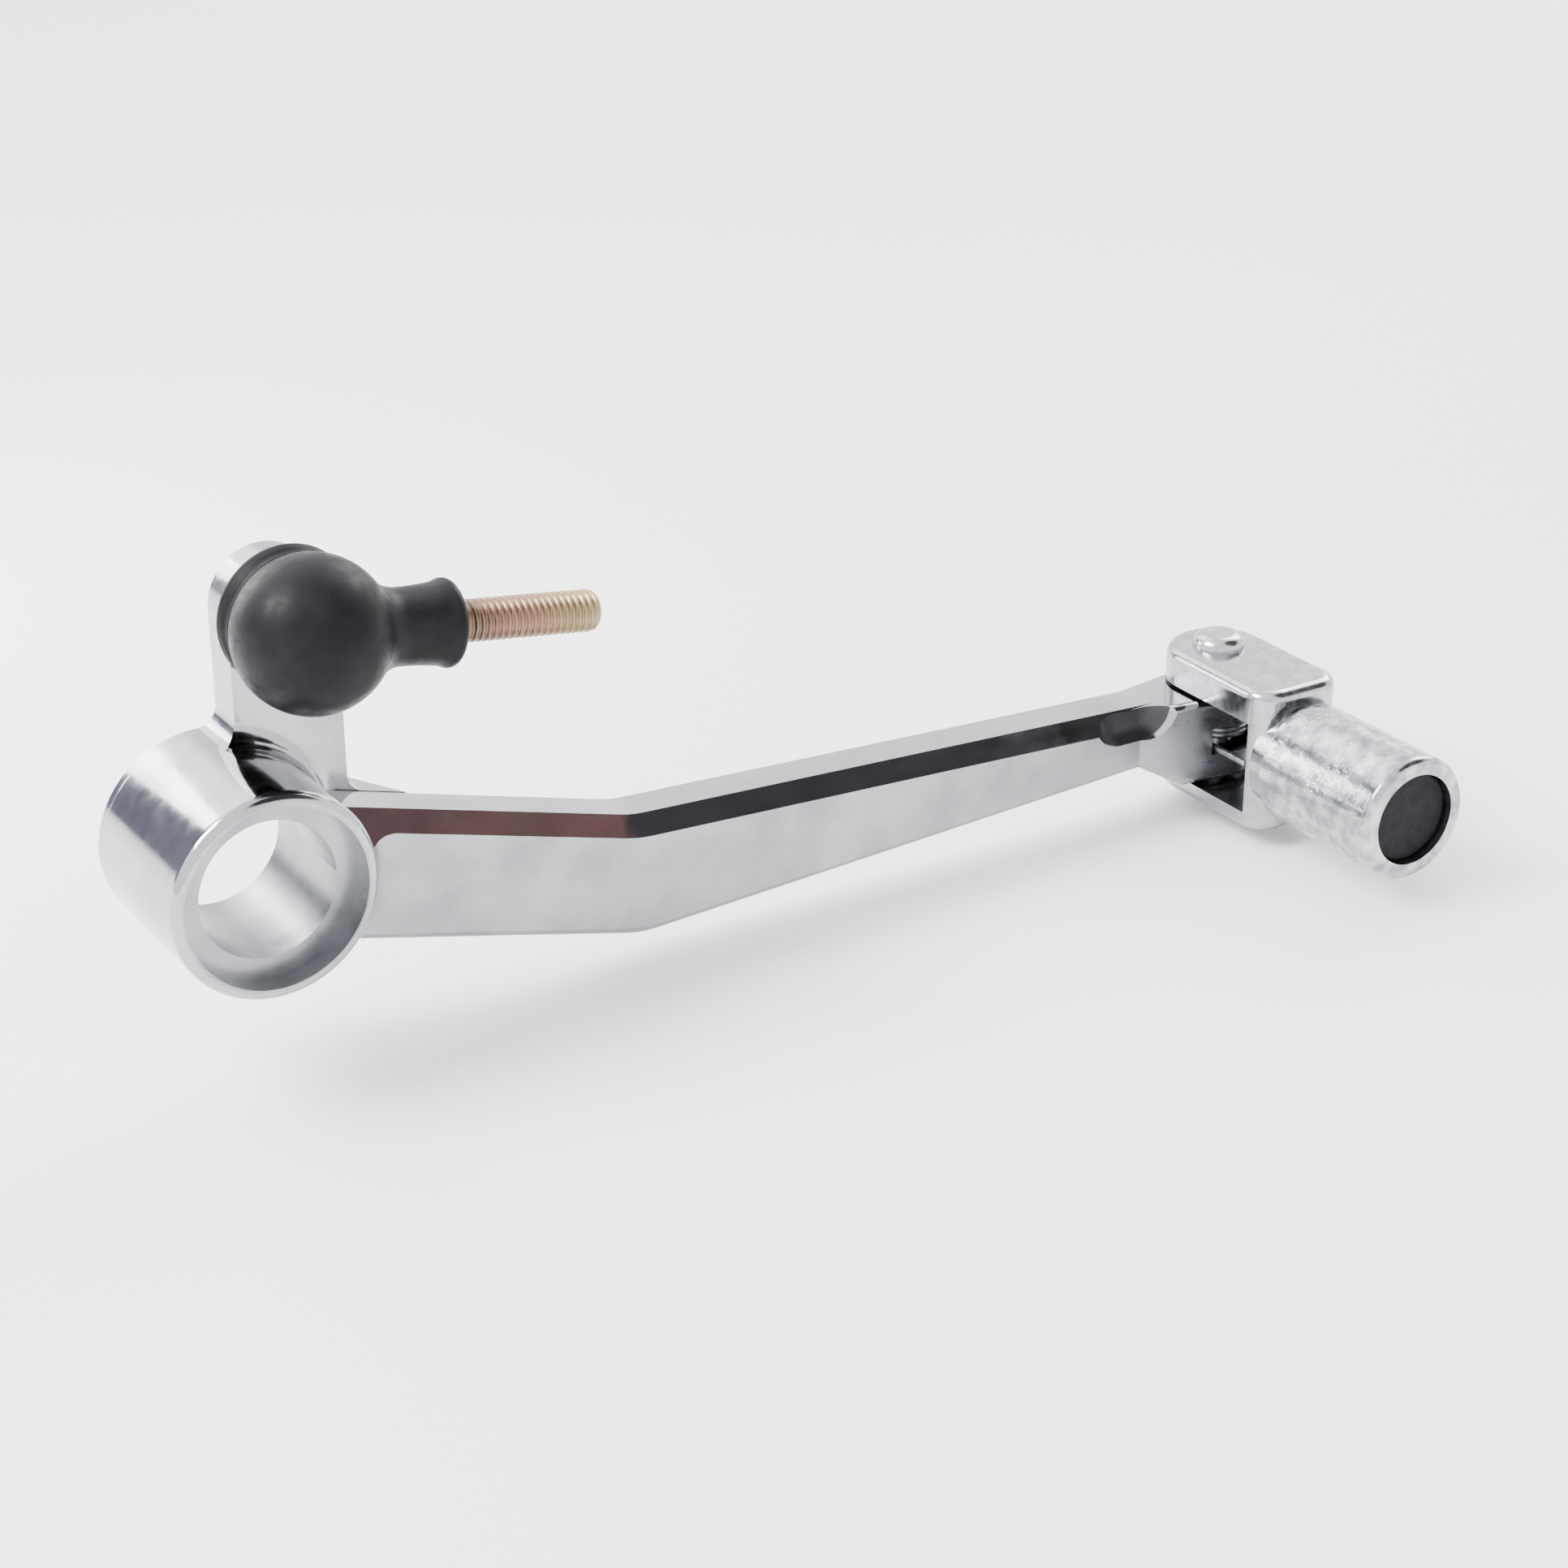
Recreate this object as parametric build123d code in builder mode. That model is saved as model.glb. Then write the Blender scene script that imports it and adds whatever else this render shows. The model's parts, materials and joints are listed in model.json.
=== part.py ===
"""Motorcycle gear shift lever with a folding toe piece and a booted ball joint.

Frame: the origin is the middle of the pivot bore. +X runs along the lever towards the toe piece,
-Y points outboard (the way the toe peg sticks out) and +Z is up. Millimetres.
"""
import os
from math import cos, hypot, radians, sin, sqrt

from build123d import *

# ---------------------------------------------------------------- pivot hub
hub_radius = 15.0
hub_length = 26.0
hub_edge_round = 1.5
bore_radius = 10.0
seal_radius = 13.2
seal_depth = 3.5
hub_overlap = 0.02
hub_front = -hub_length / 2
hub_rear = hub_length / 2

# ---------------------------------------------------------------- arm
arm_front = -3.0
arm_thickness = 10.0
arm_rear = arm_front + arm_thickness
arm_top_root = 9.0
arm_low_root = -11.0
bend_x = 61.0
bend_top = -8.1
bend_low = -26.7
bend_round = 18.0
arm_end_x = 152.0
arm_end_low = -22.2
arm_top_bevel = 2.7
arm_edge_round = 1.2
arm_root_cove = 7.5

# ---------------------------------------------------------------- knuckle at the arm's toe end
pin_x = 172.5
pin_y = 2.0
knuckle_radius = 8.0
knuckle_top = -12.7
knuckle_low = -27.1
knuckle_root_x = 153.0
knuckle_flare_x = 162.0
knuckle_tangent = 2.4
knuckle_inset = 0.35
knuckle_edge_round = 1.4
knuckle_slope_start = 0.8
stop_left = 1.5
stop_right = 8.0
stop_top = -19.6
stop_low = -24.2
scoop_x = 151.5
scoop_z = -12.2
scoop_length = 18.0
scoop_radius = 6.5
scoop_depth = 2.4

# ---------------------------------------------------------------- ear for the ball stud
ball_x = 11.5
ball_y = -3.0
ball_z = 32.0
ear_front = 6.5
ear_radius = 8.0
ear_fillet = 3.0
ear_root_fillet = 3.0
gusset_x = 29.0
gusset_end = 3.0
gusset_start_x = 20.5

# ---------------------------------------------------------------- ball stud
ball_radius = 5.0
stud_neck_radius = 2.6
stud_collar_radius = 5.5
stud_collar_front = 4.3
stud_shank_radius = 3.0
stud_rivet_radius = 4.2
stud_rivet_depth = 1.2
stud_rivet_dome = 0.6

# ---------------------------------------------------------------- rod end
housing_radius = 7.8
housing_front = -9.5
housing_rear = 1.5
housing_bevel = 2.5
housing_rear_bevel = 0.8
seat_radius = 6.2
seat_front = -7.6
seat_rear = 0.9
seat_mouth = 4.4
housing_mouth = 5.2
seat_clearance = 0.04
cap_thickness = 1.0
cap_gap = 0.6
cap_play = 0.02
cap_ledge = 0.3
cap_edge_round = 0.4
seat_spring_inner = 2.6
seat_spring_play = 0.4
shank_radius = 4.3
shank_end = 17.0
shank_bevel = 0.6
rod_drop_angle = 7.5
rod_radius = 3.0
rod_shank_radius = 2.7
rod_start = 11.0
thread_start = 22.2
rod_end = 43.1
rod_point = 0.9

# ---------------------------------------------------------------- rubber boot and its ring
boot_radius = 11.0
boot_inner_radius = 9.4
boot_lip_radius = 10.0
boot_lip_front = 3.9
boot_lip_rear = 6.2
boot_neck_radius = 5.5
boot_neck_inner = 4.4
boot_bead_radius = 6.2
boot_bead_start = 18.0
boot_bead_end = 20.6
boot_bead_round = 0.5
ring_inner = 5.6
ring_outer = 6.5
ring_front = 4.5

# ---------------------------------------------------------------- folding toe piece
fork_half_width = 8.4
fork_top = -6.6
fork_low = -30.6
fork_front = -19.5
slot_top = -12.2
slot_low = -27.6
web_face = -13.0
web_round_top = 5.0
web_round_low = 3.0
web_bevel = 3.0
fork_edge_round = 1.6
fork_corner_round = 4.5
peg_z = -19.0
peg_radius = 10.0
peg_neck_radius = 9.0
peg_neck_length = 1.6
peg_end = -46.0
peg_edge_round = 1.2
peg_bore_radius = 7.4
peg_bore_depth = 16.0
plug_recess = 1.4
plug_radius = 7.35
plug_length = 6.0
plug_bevel = 0.4

# ---------------------------------------------------------------- toe pivot
pin_radius = 2.5
pin_head_radius = 4.3
pin_head_height = 2.1
pin_head_rim = 0.15
pin_rivet_radius = 3.4
pin_rivet_height = 1.1
pin_rivet_bevel = 0.8
pin_play = 0.05
bush_radius = 3.6
washer_radius = 4.6
washer_thickness = 1.0
washer_edge_round = 0.3
washer_play = 0.02
thrust_radius = 6.0
thrust_thickness = 0.4
spring_inner = 4.4
spring_outer = 5.8
spring_low = -22.0
spring_height = 4.2
spring_leg_radius = 0.6
spring_leg_lift = 0.1
spring_leg_play = 0.2
pocket_play = 0.4

# ---------------------------------------------------------------- shared planes and points
stud_plane = Plane(origin=(ball_x, 0, ball_z), x_dir=(1, 0, 0), z_dir=(0, 1, 0))
rod_axis = Vector(cos(radians(rod_drop_angle)), 0, -sin(radians(rod_drop_angle)))
rod_plane = Plane(origin=(ball_x, ball_y, ball_z), x_dir=(0, 1, 0), z_dir=rod_axis)
toe_plane = Plane(origin=(pin_x, pin_y, 0), x_dir=(1, 0, 0), z_dir=(0, 0, 1))
peg_plane = Plane(origin=(pin_x, 0, peg_z), x_dir=(-1, 0, 0), z_dir=(0, 1, 0))
# A half section for a piece turned about the stud: its first axis is the radius, its second is Y.
stud_section = Plane(origin=(ball_x, 0, ball_z), x_dir=(1, 0, 0), z_dir=(0, 0, 1))
stud_axis = Axis((ball_x, 0, ball_z), (0, 1, 0))


def save(part, name):
    """Label a finished part and write its STEP file."""
    part.label = name
    export_step(part, f"parts/{name}.step")


os.makedirs("parts", exist_ok=True)

# ================================================================ lever_body
# One aluminium forging: hub barrel, ear for the ball stud, bent arm and the knuckle at its toe end.


def arm_middle(x):
    """Height of the arm's middle line at a distance x from the pivot."""
    if x < bend_x:
        share = x / bend_x
        return (arm_top_root + arm_low_root) / 2 * (1 - share) + (bend_top + bend_low) / 2 * share
    share = (x - bend_x) / (arm_end_x - bend_x)
    return (bend_top + bend_low) / 2 * (1 - share) + (knuckle_top + arm_end_low) / 2 * share


def at_barrel(edge, low_y, high_y):
    """Whether an edge's middle is near the barrel's round surface, between two places along the hub."""
    middle = edge.center()
    return abs(hypot(middle.X, middle.Z) - hub_radius) < hub_edge_round / 2 and low_y < middle.Y < high_y


# Side outline of the bent bar, carried through its thickness, with a broad bevel on the upper outer edge.
with BuildPart() as arm:
    with BuildSketch(Plane.XZ.offset(-arm_rear)):
        with BuildLine():
            Polyline(
                (0, arm_top_root),
                (bend_x, bend_top),
                (arm_end_x + 6, knuckle_top),
                (arm_end_x + 6, arm_end_low),
                (bend_x, bend_low),
                (0, arm_low_root),
                close=True,
            )
        make_face()
        fillet(vertices().filter_by_position(Axis.X, bend_x - 1, bend_x + 1), bend_round)
    extrude(amount=arm_thickness)
    long_edges = edges().filter_by(Axis.Y, reverse=True).filter_by(Axis.Z, reverse=True)
    front_edges = long_edges.group_by(Axis.Y)[0]
    rear_edges = long_edges.group_by(Axis.Y)[-1]
    front_top = front_edges.filter_by(lambda e: e.center().Z > arm_middle(e.center().X))
    front_low = front_edges.filter_by(lambda e: e.center().Z < arm_middle(e.center().X))
    fillet(rear_edges + front_low, arm_edge_round)
    chamfer(front_top, arm_top_bevel)

# A wide cove, turned about the hub's axis, carries the arm's outer face round into the barrel. It keeps
# within the arm's side outline and under the arm's bevel.
with BuildPart() as arm_root:
    with BuildSketch():
        with BuildLine():
            cove_start = (hub_radius, arm_front - arm_root_cove)
            cove_end = (hub_radius + arm_root_cove, arm_front)
            cove_sag = arm_root_cove * (1 - sqrt(0.5))
            cove_middle = (hub_radius + cove_sag, arm_front - cove_sag)
            ThreePointArc(cove_start, cove_middle, cove_end)
            Polyline(
                cove_end,
                (hub_radius + arm_root_cove, arm_front + 1),
                (hub_radius - 1, arm_front + 1),
                (hub_radius - 1, arm_front - arm_root_cove),
                cove_start,
            )
        make_face()
    revolve(axis=Axis.Y)
    with BuildSketch(Plane.XZ.offset(-arm_rear)):
        with BuildLine():
            Polyline(
                (0, arm_top_root),
                (bend_x, bend_top),
                (bend_x, bend_low + arm_edge_round),
                (0, arm_low_root + arm_edge_round),
                close=True,
            )
        make_face()
    extrude(amount=hub_length, mode=Mode.INTERSECT)
    top_way = (bend_x, 0, bend_top - arm_top_root)
    bevel_plane = Plane(origin=(0, 0, arm_top_root), x_dir=(0, 1, 0), z_dir=top_way)
    with BuildSketch(bevel_plane):
        with BuildLine():
            Polyline(
                (arm_front + arm_top_bevel, 0),
                (hub_front, hub_front - arm_front - arm_top_bevel),
                (hub_front, hub_radius),
                (arm_front + arm_top_bevel, hub_radius),
                close=True,
            )
        make_face()
    extrude(amount=bend_x, both=True, mode=Mode.SUBTRACT)

# The knuckle flares out of the arm to the round boss that the toe pin passes through. A lug in front
# of the boss stops the toe piece when it points straight out.
with BuildPart() as knuckle:
    with BuildSketch(Plane.XY.offset(knuckle_low)):
        with Locations((pin_x, pin_y)):
            Circle(knuckle_radius)
        with BuildLine():
            Polyline(
                (knuckle_root_x, arm_front),
                (pin_x - knuckle_tangent, pin_y - knuckle_radius + knuckle_inset),
                (pin_x, pin_y),
                (pin_x - knuckle_tangent, pin_y + knuckle_radius - knuckle_inset),
                (knuckle_root_x, arm_rear),
                close=True,
            )
        make_face()
    extrude(amount=knuckle_top - knuckle_low)
    rims = edges().group_by(Axis.Z)[0] + edges().group_by(Axis.Z)[-1]
    fillet(rims.filter_by(Axis.Y, reverse=True), knuckle_edge_round)
    # Its underside slopes down from the arm to the full height of the boss.
    with BuildSketch(Plane.XZ.offset(-arm_rear - 10)):
        with BuildLine():
            Polyline(
                (knuckle_root_x - 1, arm_end_low + knuckle_slope_start),
                (knuckle_flare_x, knuckle_low),
                (knuckle_root_x - 1, knuckle_low),
                close=True,
            )
        make_face()
    extrude(amount=40, mode=Mode.SUBTRACT)
    with BuildSketch(Plane.XY.offset(stop_low)):
        with BuildLine():
            Polyline(
                (pin_x + stop_left, pin_y),
                (pin_x + stop_left, web_face + pin_play),
                (pin_x + stop_right - 2, web_face + pin_play),
                (pin_x + stop_right, web_face + 3),
                (pin_x + stop_right, pin_y),
                close=True,
            )
        make_face()
    extrude(amount=stop_top - stop_low)

# The ear is a plate at the hub's inboard end, filleted into the barrel and down to the arm.
with BuildPart() as ear:
    with BuildSketch(Plane.XZ.offset(-hub_rear)):
        Circle(hub_radius - hub_overlap)
        with Locations((ball_x, ball_z)):
            Circle(ear_radius)
        with Locations((ball_x, ball_z / 2)):
            Rectangle(2 * ear_radius, ball_z)
        with BuildLine():
            gusset_top = arm_top_root + (bend_top - arm_top_root) * gusset_x / bend_x
            Polyline(
                (0, arm_top_root),
                (gusset_x, gusset_top),
                (gusset_x, gusset_top - gusset_end),
                (0, arm_low_root - gusset_end / 2),
                close=True,
            )
        make_face()
        feet = vertices().filter_by(lambda v: 0 < v.Y < ball_z - 1 and v.X < gusset_x - 1)
        fillet(feet, ear_fillet)
    extrude(amount=hub_rear - ear_front)
    # Towards the toe the gusset thins out until it runs into the arm's inboard face.
    with BuildSketch(Plane.XY.offset(-hub_radius)):
        with BuildLine():
            Polyline(
                (gusset_start_x, hub_rear),
                (gusset_x, arm_rear - arm_edge_round),
                (gusset_x, hub_rear),
                close=True,
            )
        make_face()
    extrude(amount=2 * hub_radius, mode=Mode.SUBTRACT)

with BuildPart() as lever_body:
    with BuildSketch(Plane.XZ.offset(-hub_rear)):
        Circle(hub_radius)
    extrude(amount=hub_length)
    fillet(edges().filter_by(GeomType.CIRCLE), hub_edge_round)
    # The ear's face runs into the barrel in a fillet.
    add(ear.part)
    fillet(edges().filter_by(lambda e: at_barrel(e, ear_front - 0.1, ear_front + 0.1)), ear_root_fillet)
    add(arm.part)
    add(arm_root.part)
    add(knuckle.part)
    # Pivot bore with a shallow seal seat at each end.
    with BuildSketch(Plane.XZ.offset(-hub_rear)):
        Circle(bore_radius)
    extrude(amount=hub_length, mode=Mode.SUBTRACT)
    for seat_start in (hub_front, hub_rear - seal_depth):
        with BuildSketch(Plane.XZ.offset(-seat_start - seal_depth)):
            Circle(seal_radius)
        extrude(amount=seal_depth, mode=Mode.SUBTRACT)
    # Hole for the ball stud's shank, opened at the back for its riveted tail.
    with BuildSketch(stud_plane.offset(hub_rear)):
        Circle(stud_shank_radius)
    extrude(amount=-(hub_rear - ear_front), mode=Mode.SUBTRACT)
    with BuildSketch(stud_plane.offset(hub_rear)):
        Circle(stud_rivet_radius)
    extrude(amount=-stud_rivet_depth, mode=Mode.SUBTRACT)
    # Bore for the toe pin's bush, and the pocket that holds the spring, open to the front.
    with BuildSketch(toe_plane.offset(knuckle_low)):
        Circle(bush_radius)
    extrude(amount=knuckle_top - knuckle_low, mode=Mode.SUBTRACT)
    pocket_radius = spring_outer + pocket_play
    with BuildSketch(toe_plane.offset(spring_low - pocket_play / 2)):
        Circle(pocket_radius)
        with Locations((0, -knuckle_radius)):
            Rectangle(2 * pocket_radius, 2 * knuckle_radius)
        with Locations(((stop_left + stop_right) / 2, web_face - pin_y)):
            Rectangle(stop_right - stop_left, 2 * knuckle_radius, mode=Mode.SUBTRACT)
    extrude(amount=spring_height + pocket_play, mode=Mode.SUBTRACT)
    # Hollow in the arm's upper outer edge that lets the toe piece's corner swing past.
    scoop_plane = Plane(
        origin=(scoop_x, arm_front + scoop_depth - scoop_radius, scoop_z),
        x_dir=(1, 0, 0),
        z_dir=(0, 0, 1),
    )
    with BuildSketch(scoop_plane):
        SlotOverall(scoop_length, 2 * scoop_radius)
        split(bisect_by=Plane.XZ, keep=Keep.TOP)
    revolve(axis=Axis(scoop_plane.origin, (1, 0, 0)), mode=Mode.SUBTRACT)
save(lever_body.part, "lever_body")

# ================================================================ ball_stud
# Steel ball on a neck, a collar that seats on the ear, and a shank riveted over at the back.
with BuildPart() as ball_stud:
    with BuildSketch(stud_section):
        with BuildLine():
            neck_start = ball_y + sqrt(ball_radius**2 - stud_neck_radius**2)
            ball_tail = (stud_neck_radius, neck_start)
            side = ball_radius * cos(radians(10))
            side_y = ball_y + ball_radius * sin(radians(10))
            ThreePointArc((0, ball_y - ball_radius), (side, side_y), ball_tail)
            Polyline(
                ball_tail,
                (stud_neck_radius, stud_collar_front),
                (stud_collar_radius, stud_collar_front),
                (stud_collar_radius, ear_front),
                (stud_shank_radius, ear_front),
                (stud_shank_radius, hub_rear - stud_rivet_depth),
                (stud_rivet_radius, hub_rear - stud_rivet_depth),
                (stud_rivet_radius, hub_rear),
                (0, hub_rear + stud_rivet_dome),
                (0, ball_y - ball_radius),
            )
        make_face()
    revolve(axis=stud_axis)
save(ball_stud.part, "ball_stud")

# ================================================================ ball_seat
# Plastic liner round the ball, open at the front and wide enough behind for the stud to tilt.
with BuildPart() as ball_seat:
    with BuildSketch(stud_section):
        with BuildLine():
            Polyline(
                (0, seat_front),
                (seat_radius, seat_front),
                (seat_radius, seat_rear),
                (0, seat_rear),
                close=True,
            )
        make_face()
    revolve(axis=stud_axis)
    with Locations((ball_x, ball_y, ball_z)):
        Sphere(ball_radius + seat_clearance, mode=Mode.SUBTRACT)
    with BuildSketch(stud_plane.offset(ball_y)):
        Circle(seat_mouth)
    extrude(amount=seat_rear - ball_y, mode=Mode.SUBTRACT)
save(ball_seat.part, "ball_seat")

# ================================================================ rod_end_housing
# Steel eye that holds the seat, with a shank that the threaded rod screws into.
with BuildPart() as rod_end_housing:
    with BuildSketch(rod_plane):
        Circle(shank_radius)
    extrude(amount=shank_end)
    chamfer(edges().group_by(Axis.X)[-1], shank_bevel)
    with BuildSketch(stud_section):
        with BuildLine():
            Polyline(
                (0, housing_front),
                (housing_radius - housing_bevel, housing_front),
                (housing_radius, housing_front + housing_bevel),
                (housing_radius, housing_rear - housing_rear_bevel),
                (housing_radius - housing_rear_bevel, housing_rear),
                (0, housing_rear),
                close=True,
            )
        make_face()
    revolve(axis=stud_axis)
    with BuildSketch(stud_section):
        with BuildLine():
            cap_floor = seat_front - cap_gap
            cap_side = housing_radius - housing_bevel - cap_ledge
            Polyline(
                (0, housing_front - 1),
                (cap_side, housing_front - 1),
                (cap_side, cap_floor),
                (seat_radius, cap_floor),
                (seat_radius, seat_rear),
                (housing_mouth, seat_rear),
                (housing_mouth, housing_rear + 1),
                (0, housing_rear + 1),
                close=True,
            )
        make_face()
    revolve(axis=stud_axis, mode=Mode.SUBTRACT)
    with BuildSketch(rod_plane.offset(rod_start)):
        Circle(rod_shank_radius)
    extrude(amount=shank_end, mode=Mode.SUBTRACT)
save(rod_end_housing.part, "rod_end_housing")

# ================================================================ housing_cap
# Pressed disc that closes the front of the eye.
with BuildPart() as housing_cap:
    with BuildSketch(stud_plane.offset(cap_floor)):
        Circle(cap_side - cap_play)
    extrude(amount=-cap_thickness)
    fillet(edges().group_by(Axis.Y)[0], cap_edge_round)
save(housing_cap.part, "housing_cap")

# ================================================================ seat_spring
# Thin conical washer between the cap and the seat, which takes up the ball's play.
with BuildPart() as seat_spring:
    with BuildSketch(stud_section):
        with BuildLine():
            Polyline(
                (seat_spring_inner, seat_front),
                (seat_spring_inner, seat_front - cap_gap / 2),
                (cap_side - seat_spring_play, seat_front - cap_gap),
                (cap_side - seat_spring_play, seat_front - cap_gap / 2),
                close=True,
            )
        make_face()
    revolve(axis=stud_axis)
save(seat_spring.part, "seat_spring")

# ================================================================ tie_rod
# Rod screwed into the housing's shank: a reduced shank, then the thread at its outer diameter.
with BuildPart() as tie_rod:
    with BuildSketch(rod_plane.offset(rod_start)):
        Circle(rod_shank_radius)
    extrude(amount=rod_end - rod_start)
    with BuildSketch(rod_plane.offset(thread_start)):
        Circle(rod_radius)
    extrude(amount=rod_end - thread_start)
    chamfer(faces().sort_by(Axis.X)[-1].edges(), rod_point)
save(tie_rod.part, "tie_rod")

# ================================================================ boot_ring
# Steel ring moulded into the boot's lip; it turns on the stud's collar.
with BuildPart() as boot_ring:
    with BuildSketch(stud_plane.offset(ring_front)):
        Circle(ring_outer)
        Circle(ring_inner, mode=Mode.SUBTRACT)
    extrude(amount=boot_lip_rear - ring_front)
save(boot_ring.part, "boot_ring")

# ================================================================ dust_boot
# Rubber boot: a hollow bulb round the housing with a lip at the ear and a beaded neck round the shank.
with BuildPart() as dust_boot:
    with Locations((ball_x, ball_y, ball_z)):
        Sphere(boot_radius)
    with BuildSketch(stud_plane.offset(boot_lip_rear)):
        Rectangle(4 * boot_radius, 4 * boot_radius)
    extrude(amount=boot_radius, mode=Mode.SUBTRACT)
    with BuildSketch(stud_plane.offset(boot_lip_front)):
        Circle(boot_lip_radius)
    extrude(amount=boot_lip_rear - boot_lip_front)
    with BuildSketch(rod_plane):
        Circle(boot_neck_radius)
    extrude(amount=boot_bead_end)
    with BuildSketch(rod_plane.offset(boot_bead_start)):
        Circle(boot_bead_radius)
    extrude(amount=boot_bead_end - boot_bead_start)
    fillet(faces().sort_by(Axis.X)[-1].outer_wire().edges(), boot_bead_round)
    with BuildSketch(stud_section):
        with BuildLine():
            cavity_mouth = sqrt(boot_inner_radius**2 - (ring_front - ball_y) ** 2)
            ThreePointArc(
                (0, ball_y - boot_inner_radius),
                (boot_inner_radius, ball_y),
                (cavity_mouth, ring_front),
            )
            Polyline(
                (cavity_mouth, ring_front),
                (ring_outer, ring_front),
                (ring_outer, boot_lip_rear + 1),
                (0, boot_lip_rear + 1),
                (0, ball_y - boot_inner_radius),
            )
        make_face()
    revolve(axis=stud_axis, mode=Mode.SUBTRACT)
    with BuildSketch(rod_plane):
        Circle(boot_neck_inner)
    extrude(amount=shank_end, mode=Mode.SUBTRACT)
    with BuildSketch(rod_plane):
        Circle(rod_shank_radius)
    extrude(amount=boot_bead_end, mode=Mode.SUBTRACT)
save(dust_boot.part, "dust_boot")

# ================================================================ toe_piece
# Forged fork whose two ears straddle the knuckle, running out into a hollow round peg.
with BuildPart() as toe_piece:
    with BuildSketch(toe_plane.offset(fork_low)):
        Circle(fork_half_width)
        with Locations((0, (fork_front - pin_y) / 2)):
            Rectangle(2 * fork_half_width, pin_y - fork_front)
        fillet(vertices().group_by(Axis.Y)[0], fork_corner_round)
    extrude(amount=fork_top - fork_low)
    fillet(edges().group_by(Axis.Z)[0] + edges().group_by(Axis.Z)[-1], fork_edge_round)
    # Slot for the knuckle, rounded in its inner corners.
    with BuildSketch(Plane.YZ.offset(pin_x - 2 * fork_half_width)):
        with Locations((web_face + fork_half_width * 2, (slot_top + slot_low) / 2)):
            Rectangle(fork_half_width * 4, slot_top - slot_low)
        fillet(vertices().group_by(Axis.X)[0].sort_by(Axis.Y)[-1], web_round_top)
        fillet(vertices().group_by(Axis.X)[0].sort_by(Axis.Y)[0], web_round_low)
    extrude(amount=4 * fork_half_width, mode=Mode.SUBTRACT)
    # Bevel on the slot's rearward edge, which gives the arm room when the toe piece folds back.
    with BuildSketch(Plane.XY.offset(slot_low)):
        with BuildLine():
            bevel_edge = pin_x - fork_half_width
            Polyline(
                (bevel_edge, web_face - web_bevel),
                (bevel_edge + web_bevel + web_round_top, web_face + web_round_top),
                (bevel_edge, web_face + web_round_top),
                close=True,
            )
        make_face()
    extrude(amount=slot_top - slot_low, mode=Mode.SUBTRACT)
    # The peg: a short neck, then the full grip diameter with a rounded end.
    with BuildSketch(peg_plane.offset(fork_front + 2)):
        Circle(peg_neck_radius)
    extrude(amount=-(peg_neck_length + 2 + 2))
    with BuildSketch(peg_plane.offset(fork_front - peg_neck_length)):
        Circle(peg_radius)
    extrude(amount=peg_end - fork_front + peg_neck_length)
    fillet(faces().sort_by(Axis.Y)[0].edges(), peg_edge_round)
    with BuildSketch(peg_plane.offset(peg_end)):
        Circle(peg_bore_radius)
    extrude(amount=peg_bore_depth, mode=Mode.SUBTRACT)
    # Pin hole through both ears.
    with BuildSketch(toe_plane.offset(fork_low)):
        Circle(pin_radius)
    extrude(amount=fork_top - fork_low, mode=Mode.SUBTRACT)
save(toe_piece.part, "toe_piece")

# ================================================================ peg_plug
# Black plug pushed into the peg's bore, a little below its rim.
with BuildPart() as peg_plug:
    with BuildSketch(peg_plane.offset(peg_end + plug_recess)):
        Circle(plug_radius)
    extrude(amount=plug_length)
    chamfer(edges().filter_by(GeomType.CIRCLE).group_by(Axis.Y)[0], plug_bevel)
save(peg_plug.part, "peg_plug")

# ================================================================ toe_pin
# Steel rivet with a domed head, its lower end riveted over a washer.
with BuildPart() as toe_pin:
    rivet_top = fork_low - washer_thickness
    with BuildSketch(toe_plane.offset(rivet_top)):
        Circle(pin_radius)
    extrude(amount=fork_top - rivet_top)
    with BuildSketch(toe_plane.offset(rivet_top - pin_rivet_height)):
        Circle(pin_rivet_radius)
    extrude(amount=pin_rivet_height)
    chamfer(edges().group_by(Axis.Z)[0], pin_rivet_bevel)
    with BuildSketch(toe_plane.offset(fork_top)):
        Circle(pin_head_radius)
    extrude(amount=pin_head_height)
    fillet(edges().group_by(Axis.Z)[-1], pin_head_height - pin_head_rim)
save(toe_pin.part, "toe_pin")

# ================================================================ pin_washer
with BuildPart() as pin_washer:
    with BuildSketch(toe_plane.offset(fork_low - washer_thickness)):
        Circle(washer_radius)
        Circle(pin_radius, mode=Mode.SUBTRACT)
    extrude(amount=washer_thickness)
    fillet(edges().group_by(Axis.Z)[0].sort_by(SortBy.RADIUS)[-1], washer_edge_round)
save(pin_washer.part, "pin_washer")

# ================================================================ pin_bush
# Steel sleeve pressed through the knuckle, in which the toe pin turns.
with BuildPart() as pin_bush:
    with BuildSketch(toe_plane.offset(knuckle_low)):
        Circle(bush_radius)
        Circle(pin_radius + pin_play, mode=Mode.SUBTRACT)
    extrude(amount=knuckle_top - knuckle_low)
save(pin_bush.part, "pin_bush")

# ================================================================ thrust_washers
# Two thin washers between the knuckle's faces and the fork's ears.
with BuildPart() as thrust_washers:
    for washer_base in (knuckle_low - pin_play - thrust_thickness, knuckle_top + pin_play):
        with BuildSketch(toe_plane.offset(washer_base)):
            Circle(thrust_radius)
            Circle(pin_radius + washer_play, mode=Mode.SUBTRACT)
        extrude(amount=thrust_thickness)
save(thrust_washers.part, "thrust_washers")

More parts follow.
